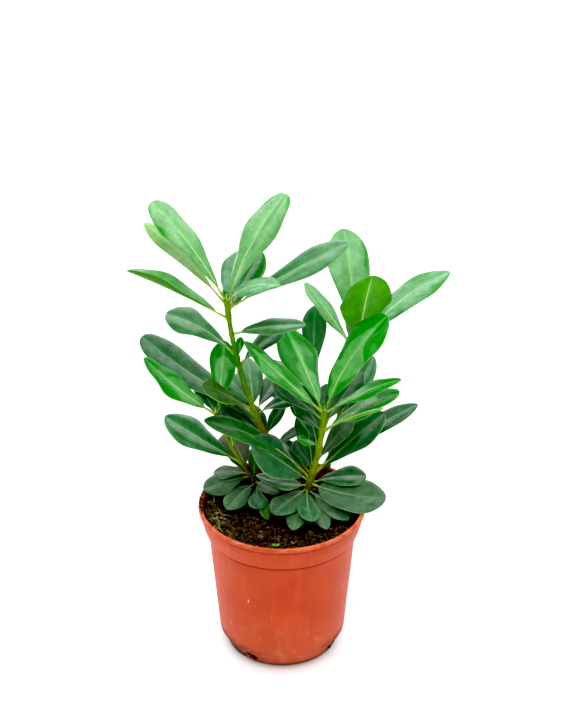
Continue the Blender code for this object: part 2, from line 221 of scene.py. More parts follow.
def terracotta_plastic():
    made = Finish("terracotta_plastic", Specular_IOR_Level=0.22)
    side, height = made.axis("X"), made.axis("Z")
    cloud = made.noise(28, 4.0)
    colour = cloud.band(0.3, 0.7).mix((0.40, 0.041, 0.007), (0.48, 0.059, 0.013))
    streaks = made.noise(6, 3.0, (1, 1, 0.12), 3.0)
    colour = (streaks.band(0.5, 0.75) * 0.14).mix(colour, (0.70, 0.12, 0.035))
    low = 1 - (height - 0.006).band(0.0, 0.05)
    dust = made.noise(9, 6.0, seed=7.0).band(0.55, 0.75) * low
    colour = (dust * 0.45 + low * 0.12).mix(colour, (0.62, 0.24, 0.14))
    scuffs = made.noise(2.4, 5.0, (1, 1, 0.35), 11.0).band(0.66, 0.74)
    scuffs = scuffs * made.noise(22, 2.0, seed=5.0).band(0.5, 0.65)
    colour = (scuffs * 0.75).mix(colour, (0.78, 0.46, 0.34))
    left_foot = (side * -1.0).band(0.006, 0.028) * (1 - height.band(0.009, 0.019))
    right_foot = side.band(0.024, 0.035) * (1 - height.band(0.011, 0.019))
    grime = left_foot.larger(right_foot) * made.noise(5, 5.0, seed=2.0).band(0.36, 0.52)
    grime = grime.larger((1 - height.band(0.0008, 0.0030)) * made.noise(4, 5.0, seed=9.0).band(0.34, 0.50))
    colour = (grime * 0.9).mix(colour, (0.040, 0.025, 0.013))
    # Painted shade darkens the groove below the collar and the band under the lip.
    groove = height.band(0.0925, 0.0940) * (1 - height.band(0.0952, 0.0962))
    under_lip = height.band(0.1090, 0.1104) * (1 - height.band(0.1118, 0.1126))
    painted_recess_shade = groove.larger(under_lip) * made.noise(12, 3.0, seed=8.0).band(0.2, 0.5)
    colour = (painted_recess_shade * 0.7).mix(colour, (0.13, 0.018, 0.007))
    # A painted highlight lightens the top of the lip.
    lip_highlight = height.band(0.1128, 0.1140) * made.noise(7, 4.0, seed=6.0).band(0.35, 0.6)
    colour = (lip_highlight * 0.5).mix(colour, (0.66, 0.20, 0.10))
    made.feed(Base_Color=colour, Roughness=0.42 + 0.16 * cloud + 0.2 * dust + 0.25 * grime)
    made.bump(made.noise(0.9, 2.0) * 0.3 + streaks * 0.2 + grime * 0.6 + scuffs * 0.3, 0.12)
    return made.material


def rounded(points, radius, steps=4):
    """The polyline through points, given as radius and height, with an arc in place of each inner corner."""
    corners = [Vector(p) for p in points]
    path = [corners[0]]
    for before, corner, after in zip(corners, corners[1:], corners[2:]):
        to_before, to_after = before - corner, after - corner
        start = corner + to_before.normalized() * min(radius, to_before.length * 0.45)
        end = corner + to_after.normalized() * min(radius, to_after.length * 0.45)
        for k in range(steps + 1):
            t = k / steps
            path.append(start * (1 - t) ** 2 + corner * 2 * t * (1 - t) + end * t * t)
    path.append(corners[-1])
    return path


def level_ring(bm, r, z, steps):
    """Points on a level circle round the axis, or the one point on the axis itself."""
    if r < 1e-6:
        return [bm.verts.new((0, 0, z * MM))]
    angles = [2 * math.pi * k / steps for k in range(steps)]
    return [bm.verts.new((r * MM * math.cos(a), r * MM * math.sin(a), z * MM)) for a in angles]


def join_rings(bm, rings):
    """Skins each ring of points to the next, and returns the faces. A ring can be a single point."""
    made = []
    for lower, upper in zip(rings, rings[1:]):
        steps = max(len(lower), len(upper))
        for k in range(steps):
            n = (k + 1) % steps
            low = (lower[k % len(lower)], lower[n % len(lower)])
            high = (upper[n % len(upper)], upper[k % len(upper)])
            made.append(bm.faces.new(list(dict.fromkeys(low + high))))
    return made


def finished(name, bm, materials, sharp=60.0):
    """A smooth-shaded piece made from bm, riding on the plant's one body."""
    mesh = bpy.data.meshes.new(name)
    bm.to_mesh(mesh)
    bm.free()
    for material in materials:
        mesh.materials.append(material)
    mesh.shade_smooth()
    mesh.set_sharp_from_angle(angle=math.radians(sharp))
    obj = placed(name, mesh)
    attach(obj, "root")
    return obj


def drain_angle(k):
    return math.radians(DRAIN_FIRST_ANGLE + 360.0 / DRAIN_COUNT * k)


def cut_drains(pot):
    """Cuts the drain holes, soft-cornered slots in the slanted foot."""
    cutters = bpy.data.collections.new("drain_cutters")
    for k in range(DRAIN_COUNT):
        bm = bmesh.new()
        bmesh.ops.create_cube(bm, size=1.0)
        size = Vector((DRAIN_DEPTH, DRAIN_WIDTH, DRAIN_HEIGHT)) * MM
        bmesh.ops.transform(bm, matrix=Matrix.Diagonal((*size, 1)), verts=bm.verts)
        along = [e for e in bm.edges if abs(e.verts[0].co.x - e.verts[1].co.x) > 1e-6]
        bmesh.ops.bevel(bm, geom=along, offset=DRAIN_CORNER * MM, segments=4, affect="EDGES")
        place = Vector((FOOT_RADIUS + 1.0, 0, FLOOR + DRAIN_HEIGHT / 2 + 0.8)) * MM
        turn = Matrix.Rotation(drain_angle(k), 4, "Z") @ Matrix.Translation(place)
        bmesh.ops.transform(bm, matrix=turn, verts=bm.verts)
        mesh = bpy.data.meshes.new(f"drain_cutter_{k}")
        bm.to_mesh(mesh)
        bm.free()
        cutters.objects.link(bpy.data.objects.new(f"drain_cutter_{k}", mesh))
    cut = pot.modifiers.new("drains", "BOOLEAN")
    cut.operand_type = "COLLECTION"
    cut.collection = cutters
    bpy.context.view_layer.update()
    cleaned = bpy.data.meshes.new_from_object(pot.evaluated_get(bpy.context.evaluated_depsgraph_get()))
    pot.modifiers.clear()
    pot.data = cleaned
    for cutter in list(cutters.objects):
        bpy.data.objects.remove(cutter)
    bpy.data.collections.remove(cutters)


def pot_profile():
    """The section of the pot, from the middle of the underside up the outside and down the inside."""
    step = POT_HEIGHT - COLLAR_HEIGHT
    outside = [
        (0.0, 0.6), (4.0, 0.6), (5.0, 0.0), (FOOT_RADIUS - 9.0, 0.0),
        (FOOT_RADIUS - 8.4, 0.5), (FOOT_RADIUS - 4.2, 0.5), (FOOT_RADIUS - 3.6, 0.0),
        (FOOT_RADIUS - 1.2, 0.0), (FOOT_RADIUS - 0.1, 0.5), (FOOT_RADIUS + 0.4, 1.9),
        (FOOT_RADIUS + 0.2, 2.4), (WALL_FOOT_RADIUS - 0.7, CHAMFER_HEIGHT - 0.7),
        (WALL_FOOT_RADIUS, CHAMFER_HEIGHT - 0.3),
        (WALL_FOOT_RADIUS + 0.15, CHAMFER_HEIGHT + 1.2), (WALL_TOP_RADIUS - 0.1, step - 2.4),
        (WALL_TOP_RADIUS - 0.6, step - 1.0), (WALL_TOP_RADIUS - 0.2, step + 0.1), (COLLAR_RADIUS, step + 0.5),
        (COLLAR_RADIUS + 0.5, step + 1.6), (RIM_RADIUS - 2.4, POT_HEIGHT - COLLAR_HEIGHT / 2),
        (RIM_RADIUS - 1.9, POT_HEIGHT - LIP_HEIGHT - 1.2), (RIM_RADIUS - 1.7, POT_HEIGHT - LIP_HEIGHT - 0.4),
        (RIM_RADIUS - 0.2, POT_HEIGHT - LIP_HEIGHT + 0.1), (RIM_RADIUS, POT_HEIGHT - 1.7),
        (RIM_RADIUS - 0.3, POT_HEIGHT - 0.5), (RIM_RADIUS - 0.9, POT_HEIGHT),
    ]
    inside = [
        (RIM_RADIUS - WALL - 1.2, POT_HEIGHT), (RIM_RADIUS - WALL - 1.6, POT_HEIGHT - LIP_HEIGHT),
        (RIM_RADIUS - 2.3 - WALL, POT_HEIGHT - COLLAR_HEIGHT / 2), (COLLAR_RADIUS - WALL, step + 0.4),
        (WALL_TOP_RADIUS - WALL, step - 0.6), (WALL_FOOT_RADIUS - WALL, CHAMFER_HEIGHT + 0.8),
        (FOOT_RADIUS - WALL, FLOOR), (0.0, FLOOR),
    ]
    return rounded(outside + inside, 1.0)


pot_mesh = bmesh.new()
join_rings(pot_mesh, [level_ring(pot_mesh, r, z, POT_STEPS) for r, z in pot_profile()])
bmesh.ops.recalc_face_normals(pot_mesh, faces=pot_mesh.faces)
pot = finished("nursery_pot", pot_mesh, [terracotta_plastic()], 28.0)
cut_drains(pot)
pot.data.shade_smooth()
pot.data.set_sharp_from_angle(angle=math.radians(28.0))
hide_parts("pot")


# The potting soil is a dark, damp peat mix. Its bed is a bumpy solid that fills the pot and is heaped against
# the left of the rim. On it lie loose crumbs, chips of bark and root fibres, with moss and dry straw at that
# side, and a weed seedling grows in front.
SOIL_TOP = 105.0
SOIL_RADIUS = 55.4
BED_RINGS = 46
BED_STEPS = 150
CRUMB_COUNT = 1500
CHIP_COUNT = 110
RIM_CRUMB_COUNT = 70
RIM_CRUMB_HEADING = 176.0
DRAIN_CRUMB_COUNT = 26
FIBRE_COUNT = 240
MOSS_COUNT = 420
STRAW_COUNT = 34
MOSS_PLACES = ((-54, 12, 7), (-50, -8, 7), (-44, -21, 7), (-36, -31, 6))
SEEDLING_PLACE = (-4.5, -41.5)
HEAP_HEADING = 190.0
HEAP_HEIGHT = 7.5
HEAP_SPREAD = 34.0
FOOT_SPOTS = ((10, 28), (15.5, 17), (31, 36), (20, 46), (-15, 27))


def soil_level(x, y):
    """The height of the soil's surface, calm round the foot of each stem."""
    near = min(math.hypot(x - a, y - b) for a, b in FOOT_SPOTS)
    calm = min(1.0, max(0.15, near / 9.0 - 0.4))
    broad = noise.noise(Vector((x * 0.09, y * 0.09, 3.7))) * 1.4
    fine = noise.noise(Vector((x * 0.35, y * 0.35, 9.1))) * 0.9
    fine += noise.noise(Vector((x * 0.9, y * 0.9, 1.3))) * 0.5
    reach = math.hypot(x, y) / SOIL_RADIUS
    bank = max(0.0, reach - 0.93) * 12.0
    off = math.degrees(math.atan2(y, x)) % 360 - HEAP_HEADING
    heap = HEAP_HEIGHT * math.exp(-((off / HEAP_SPREAD) ** 2)) * max(0.0, (reach - 0.66) / 0.34) ** 0.8
    return SOIL_TOP + calm * (broad + fine) - bank + heap


def peat():
    made = Finish("damp_peat", Specular_IOR_Level=0.1)
    lumps = made.noise(3.0, 8.0)
    colour = lumps.band(0.35, 0.7).mix((0.010, 0.007, 0.005), (0.050, 0.032, 0.019))
    flecks = made.cells(1.6).band(0.30, 0.12) * made.noise(8, 3.0, seed=4.0).band(0.45, 0.6)
    colour = (flecks * 0.35).mix(colour, (0.10, 0.065, 0.038))
    made.feed(Base_Color=colour, Roughness=0.75 + 0.2 * lumps)
    made.bump(made.noise(0.8, 6.0) + lumps, 0.5)
    return made.material


def plain_grain(name, dark, light, roughness=0.8):
    """A rough natural stuff that wavers between two colours."""
    made = Finish(name, Specular_IOR_Level=0.15)
    grain = made.noise(1.4, 5.0)
    made.feed(Base_Color=grain.band(0.35, 0.65).mix(dark, light), Roughness=roughness - 0.15 * grain)
    made.bump(made.noise(0.5, 4.0), 0.15)
    return made.material


def add_lump(bm, centre, size, rng, flat=1.0, slot=0):
    """One crumb: a small ball, dented at random."""
    squash = Matrix.Diagonal((rng.uniform(0.7, 1.3), rng.uniform(0.7, 1.3), rng.uniform(0.6, 1.0) * flat, 1))
    turn = Matrix.Rotation(rng.uniform(0, 6.3), 4, "Z") @ Matrix.Rotation(rng.uniform(-0.5, 0.5), 4, "X")
    made = bmesh.ops.create_icosphere(bm, subdivisions=1, radius=size * MM)["verts"]
    for vert in made:
        dent = 1 + 0.45 * noise.noise(vert.co.normalized() * 1.7 + Vector((centre.x, centre.y, size)))
        vert.co = Matrix.Translation(centre * MM) @ turn @ squash @ (vert.co * dent)
    for face in {f for v in made for f in v.link_faces}:
        face.material_index = slot


def around(across, over, sides):
    """Directions evenly round a circle that starts across and goes over."""
    turns = [2 * math.pi * k / sides for k in range(sides)]
    return [across * math.cos(a) + over * math.sin(a) for a in turns]


def add_strand(bm, points, radius, slot=0, sides=4, taper=0.6):
    """A thin strand through points, in millimetres, that narrows to its end."""
    rings = []
    for k, point in enumerate(points):
        ahead = (points[min(k + 1, len(points) - 1)] - points[max(k - 1, 0)]).normalized()
        across = ahead.orthogonal().normalized()
        r = radius * (1 - taper * k / (len(points) - 1))
        ring = around(across, ahead.cross(across), sides)
        rings.append([bm.verts.new((point + out * r) * MM) for out in ring])
    faces = join_rings(bm, rings)
    faces.append(bm.faces.new(reversed(rings[0])))
    faces.append(bm.faces.new(rings[-1]))
    for face in faces:
        face.material_index = slot


def on_disc(rng, limit):
    reach = limit * math.sqrt(rng.random())
    angle = rng.uniform(0, 2 * math.pi)
    return reach * math.cos(angle), reach * math.sin(angle)


def make_bed():
    """The body of the soil: a turned side and underside, and a bumpy top."""
    side = [
        (FOOT_RADIUS - WALL - 0.6, FLOOR + 0.3), (WALL_FOOT_RADIUS - WALL - 0.5, CHAMFER_HEIGHT + 0.8),
        (WALL_TOP_RADIUS - WALL - 0.5, 94.2), (SOIL_RADIUS, SOIL_TOP - 2.6),
    ]
    bm = bmesh.new()
    rings = [level_ring(bm, r, z, BED_STEPS) for r, z in side]
    for n in range(BED_RINGS):
        rings.append(level_ring(bm, SOIL_RADIUS * (1 - n / BED_RINGS), 0.0, BED_STEPS))
        for vert in rings[-1]:
            vert.co.z = soil_level(vert.co.x / MM, vert.co.y / MM) * MM
    rings.append(level_ring(bm, 0.0, soil_level(0, 0), BED_STEPS))
    join_rings(bm, rings)
    bm.faces.new(reversed(rings[0]))
    bed = finished("soil_bed", bm, [peat()])
    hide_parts("potting_soil")


def make_crumbs():
    """Crumbs of peat, chips of bark, and soil on the rim and in the two drain holes that show."""
    rng = random.Random(21)
    dark = plain_grain("peat_crumb", (0.010, 0.007, 0.005), (0.050, 0.032, 0.019), 0.9)
    brown = plain_grain("bark_chip", (0.022, 0.013, 0.008), (0.080, 0.047, 0.027))
    tan = plain_grain("dry_crumb", (0.09, 0.055, 0.025), (0.22, 0.14, 0.07))
    bm = bmesh.new()
    for _ in range(CRUMB_COUNT):
        x, y = on_disc(rng, SOIL_RADIUS - 1.0)
        size = rng.uniform(0.35, 1.0) ** 2 * 1.9
        slot = rng.choices((0, 1, 2), (0.80, 0.15, 0.05))[0]
        size *= (1.0, 0.8, 0.55)[slot]
        add_lump(bm, Vector((x, y, soil_level(x, y) + size * 0.25)), size, rng, slot=slot)
    for _ in range(CHIP_COUNT):
        x, y = on_disc(rng, SOIL_RADIUS - 3.0)
        place = Vector((x, y, soil_level(x, y) + 0.5))
        add_lump(bm, place, rng.uniform(0.9, 2.3), rng, 0.35, rng.choice((1, 1, 2)))
    for _ in range(RIM_CRUMB_COUNT):
        angle = math.radians(rng.gauss(RIM_CRUMB_HEADING, 9))
        reach = rng.uniform(SOIL_RADIUS - 1.0, RIM_RADIUS - 1.2)
        on_lip = reach > RIM_RADIUS - 3.0
        rise = POT_HEIGHT + 0.2 if on_lip else POT_HEIGHT - 6.0 + (reach - SOIL_RADIUS) * 1.5
        place = Vector((reach * math.cos(angle), reach * math.sin(angle), rise))
        add_lump(bm, place, rng.uniform(0.5, 1.2), rng, 0.6, rng.choice((0, 0, 1)))
    for angle in (drain_angle(0), drain_angle(1)):
        for _ in range(DRAIN_CRUMB_COUNT):
            turn = angle + rng.uniform(-0.10, 0.10)
            z = rng.uniform(1.0, 7.5)
            reach = FOOT_RADIUS - 1.4 + (WALL_FOOT_RADIUS - FOOT_RADIUS) * z / CHAMFER_HEIGHT
            place = Vector((reach * math.cos(turn), reach * math.sin(turn), z))
            add_lump(bm, place, rng.uniform(0.5, 1.3), rng, 1.0, rng.choice((0, 0, 1)))
    crumbs = finished("soil_crumbs", bm, [dark, brown, tan])


def make_fibres():
    """Root fibres and dry straw that lie on the soil."""
    rng = random.Random(8)
    pale = plain_grain("root_fibre", (0.10, 0.065, 0.030), (0.26, 0.18, 0.09))
    straw = plain_grain("dry_straw", (0.30, 0.24, 0.10), (0.55, 0.46, 0.22))
    bm = bmesh.new()
    for k in range(FIBRE_COUNT + STRAW_COUNT):
        is_straw = k >= FIBRE_COUNT
        if is_straw:
            a, b, spread = MOSS_PLACES[k % 3]
            x, y = a + rng.uniform(-spread, spread), b + rng.uniform(-spread, spread)
        else:
            x, y = on_disc(rng, SOIL_RADIUS - 6.0)
        turn = rng.uniform(0, 2 * math.pi)
        bend = rng.uniform(-0.45, 0.45)
        step = rng.uniform(1.0, 2.6)
        points = []
        for _ in range(7):
            if math.hypot(x, y) > SOIL_RADIUS - 0.6:
                break
            points.append(Vector((x, y, soil_level(x, y) + rng.uniform(0.2, 1.0))))
            x += step * math.cos(turn)
            y += step * math.sin(turn)
            turn += bend + rng.uniform(-0.2, 0.2)
        if len(points) > 2:
            radius = rng.uniform(0.22, 0.38) if is_straw else rng.uniform(0.09, 0.22)
            add_strand(bm, points, radius, int(is_straw))
    fibres = finished("soil_fibres", bm, [pale, straw])


def make_moss():
    """A mossy patch by the rim: short yellow-green spikes."""
    rng = random.Random(5)
    fresh = plain_grain("moss_green", (0.110, 0.130, 0.020), (0.26, 0.28, 0.060))
    dull = plain_grain("moss_olive", (0.070, 0.080, 0.020), (0.18, 0.17, 0.055))
    bm = bmesh.new()
    for k in range(MOSS_COUNT):
        a, b, spread = MOSS_PLACES[k % len(MOSS_PLACES)]
        x, y = a + rng.gauss(0, spread * 0.5), b + rng.gauss(0, spread * 0.5)
        if math.hypot(x, y) > SOIL_RADIUS - 0.8:
            continue
        foot = Vector((x, y, soil_level(x, y) - 0.2))
        lean = Vector((rng.uniform(-0.8, 0.8), rng.uniform(-0.8, 0.8), 1.0)).normalized()
        tall = rng.uniform(1.0, 2.6)
        tip = foot + (lean + Vector((0, 0, -0.2))) * tall
        add_strand(bm, [foot, foot + lean * tall * 0.6, tip], 0.32, k % 2, 4, 0.85)
    moss = finished("soil_moss", bm, [fresh, dull])


def make_seedling():
    """A weed seedling by the front of the rim: a short stalk under two round seed leaves."""
    x, y = SEEDLING_PLACE
    foot = Vector((x, y, soil_level(x, y) - 0.5))
    top = foot + Vector((0.2, -0.4, 2.6))
    green = plain_grain("seedling_green", (0.050, 0.300, 0.004), (0.100, 0.420, 0.012), 0.5)
    bm = bmesh.new()
    add_strand(bm, [foot, foot.lerp(top, 0.5), top], 0.35, 0, 6, 0.2)
    for way, size in ((-1, 1.35), (1, 1.5)):
        made = bmesh.ops.create_icosphere(bm, subdivisions=3, radius=MM)["verts"]
        shape = Matrix.Diagonal((size, size * 0.8, 0.28, 1))
        lift = Matrix.Rotation(-way * 0.3, 4, "Y") @ Matrix.Rotation(0.25, 4, "X")
        place = Matrix.Translation((top + Vector((way * size * 0.9, 0, 0.5))) * MM)
        bmesh.ops.transform(bm, matrix=place @ lift @ shape, verts=made)
    seedling = finished("seedling", bm, [green])


make_bed()
make_crumbs()
make_fibres()
make_moss()
make_seedling()


# The stems are young green wood, brown and woody at the foot. Each leans its own way, swells a little
# where leaves are set, and carries the scars of leaves that it has dropped.
Stem = namedtuple("Stem", "foot tip height bow foot_radius tip_radius nodes")
STEMS = {
    "left": Stem(
        (10, 28), (-38, 20), 163, (-9, 0), 2.9, 2.1,
        ("left_stem", "left_middle_stem", "left_upper_stem"),
    ),
    "right": Stem((15.5, 17), (30, 17), 76, (2.5, 0), 2.9, 2.3, ("right_stem_foot", "right_stem")),
    "rear_right": Stem(
        (31, 36), (54, 58), 108, (-1, 0), 2.7, 2.0, ("rear_right_stem", "rear_right_upper_stem"),
    ),
    "rear_left": Stem((20, 46), (22, 54), 74, (0, 0), 2.6, 2.0, ("rear_left_stem",)),
    "low_left": Stem((-15, 27), (-47.5, 21), 72, (-2, 0), 2.0, 1.5, ("low_left_stem_foot", "low_left_stem")),
}
UPRIGHT = 2.0
STEM_SUNK = 1.5
STEM_SIDES = 18
STEM_STEP = 0.9
FLARE_HEIGHT = 6.0
FLARE = 0.7
BARE_SHARE = 0.77
SWELL_SHARE = 0.17
GOLDEN_ANGLE = 137.5


def stem_point(stem, height):
    """The centre of a stem at a height above the soil."""
    t = max(0.0, height - UPRIGHT) / (stem.height - UPRIGHT)
    bow = 4 * t * (1 - t)
    x = stem.foot[0] + (stem.tip[0] - stem.foot[0]) * t + stem.bow[0] * bow
    y = stem.foot[1] + (stem.tip[1] - stem.foot[1]) * t + stem.bow[1] * bow
    return Vector((x, y, SOIL_TOP + height))


def stem_radius(stem, height):
    radius = stem.foot_radius + (stem.tip_radius - stem.foot_radius) * height / stem.height
    return radius * (1 + FLARE * max(0.0, 1 - height / FLARE_HEIGHT) ** 2)


def stem_ahead(stem, height):
    return (stem_point(stem, height + 1) - stem_point(stem, height - 1)).normalized()


def bark():
    """Brown at the foot and green above, with a corky brown length low on the left stem."""
    made = Finish("young_bark", Specular_IOR_Level=0.1)
    side = made.axis("X")
    grown = made.axis("Z") + (made.noise(9, 3.0) - 0.5) * 0.045
    colour = grown.band(0.110, 0.138).mix((0.085, 0.036, 0.009), (0.190, 0.290, 0.004))
    colour = grown.band(0.150, 0.220).mix(colour, (0.030, 0.190, 0.001))
    colour = grown.band(0.230, 0.260).mix(colour, (0.100, 0.220, 0.002))
    corky = side.band(-0.031, -0.025) * (1 - side.band(0.004, 0.010)) * (1 - grown.band(0.168, 0.184))
    colour = (corky * 0.75).mix(colour, (0.110, 0.062, 0.014))
    knots = made.noise(5, 4.0, seed=6.0).band(0.60, 0.72)
    colour = (knots * 0.5).mix(colour, (0.15, 0.080, 0.012))
    # Streaks of lighter and darker green follow the ridges of the bump: partly the bark's own streaks, partly
    # painted light on the ridges and painted shade between them.
    ridges = made.noise(1.1, 4.0, (1, 1, 0.16))
    colour = (ridges.band(0.5, 0.7) * 0.35).mix(colour, (0.22, 0.40, 0.01))
    colour = (ridges.band(0.5, 0.3) * 0.55).mix(colour, (0.035, 0.075, 0.003))
    pores = made.cells(1.9).band(0.22, 0.10)
    colour = (pores * 0.25).mix(colour, (0.30, 0.34, 0.08))
    made.feed(Base_Color=colour, Roughness=0.62 - 0.2 * grown.band(0.13, 0.2))
    made.bump(ridges + pores * 0.5, 0.3)
    return made.material


def make_stem(name, leaf_heights):
    """One stem from the soil to its tip, with ridges along it and a swelling at each leaf."""
    stem = STEMS[name]
    bm = bmesh.new()
    rings = []
    steps = round((stem.height + STEM_SUNK) / STEM_STEP)
    for n in range(steps + 1):
        height = -STEM_SUNK + (stem.height + STEM_SUNK) * n / steps
        centre = stem_point(stem, max(0.0, height)) + Vector((0, 0, min(0.0, height)))
        ahead = stem_ahead(stem, max(1.0, height))
        across = Vector((0, 1, 0)).cross(ahead).normalized()
        swell = sum(math.exp(-(((height - h) / 1.7) ** 2)) for h in leaf_heights)
        radius = stem_radius(stem, max(0.0, height)) * (BARE_SHARE + SWELL_SHARE * min(1.6, swell))
        ring = []
        for out in around(across, ahead.cross(across), STEM_SIDES):
            ridge = 1 + 0.07 * noise.noise(Vector((out.x * 2.6, out.y * 2.6, height * 0.10 + stem.height)))
            ridge += 0.05 * noise.noise(Vector((out.x * 5, out.y * 5, height * 0.6)))
            ring.append(bm.verts.new((centre + out * radius * ridge) * MM))
        rings.append(ring)
    join_rings(bm, rings)
    bm.faces.new(reversed(rings[0]))
    bm.faces.new(rings[-1])
    add_scars(bm, stem, leaf_heights)
    piece = finished(f"{name}_bark", bm, [bark_finish, scar_finish])
    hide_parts(*stem.nodes)


def add_scars(bm, stem, leaf_heights):
    """Crescent scars on the bare lengths, one above another round the stem."""
    rng = random.Random(round(stem.height))
    height, turn = 7.0, rng.uniform(0, 360)
    while height < stem.height - 8:
        turn += GOLDEN_ANGLE
        height += rng.uniform(5.5, 8.5)
        if any(abs(height - h) < 3.0 for h in leaf_heights):
            continue
        out = Vector((math.cos(math.radians(turn)), math.sin(math.radians(turn)), 0))
        ahead = stem_ahead(stem, height)
        out = (out - ahead * out.dot(ahead)).normalized()
        place = stem_point(stem, height) + out * (stem_radius(stem, height) * BARE_SHARE)
        shape = Matrix((ahead.cross(out), out, ahead)).transposed().to_4x4()
        made = bmesh.ops.create_icosphere(bm, subdivisions=2, radius=MM)["verts"]
        size = Matrix.Diagonal((1.15, 0.42, 0.75, 1))
        bmesh.ops.transform(bm, matrix=Matrix.Translation(place * MM) @ shape @ size, verts=made)
        for face in {f for v in made for f in v.link_faces}:
            face.material_index = 1


bark_finish = bark()
scar_finish = plain_grain("leaf_scar", (0.10, 0.060, 0.020), (0.24, 0.17, 0.070), 0.75)
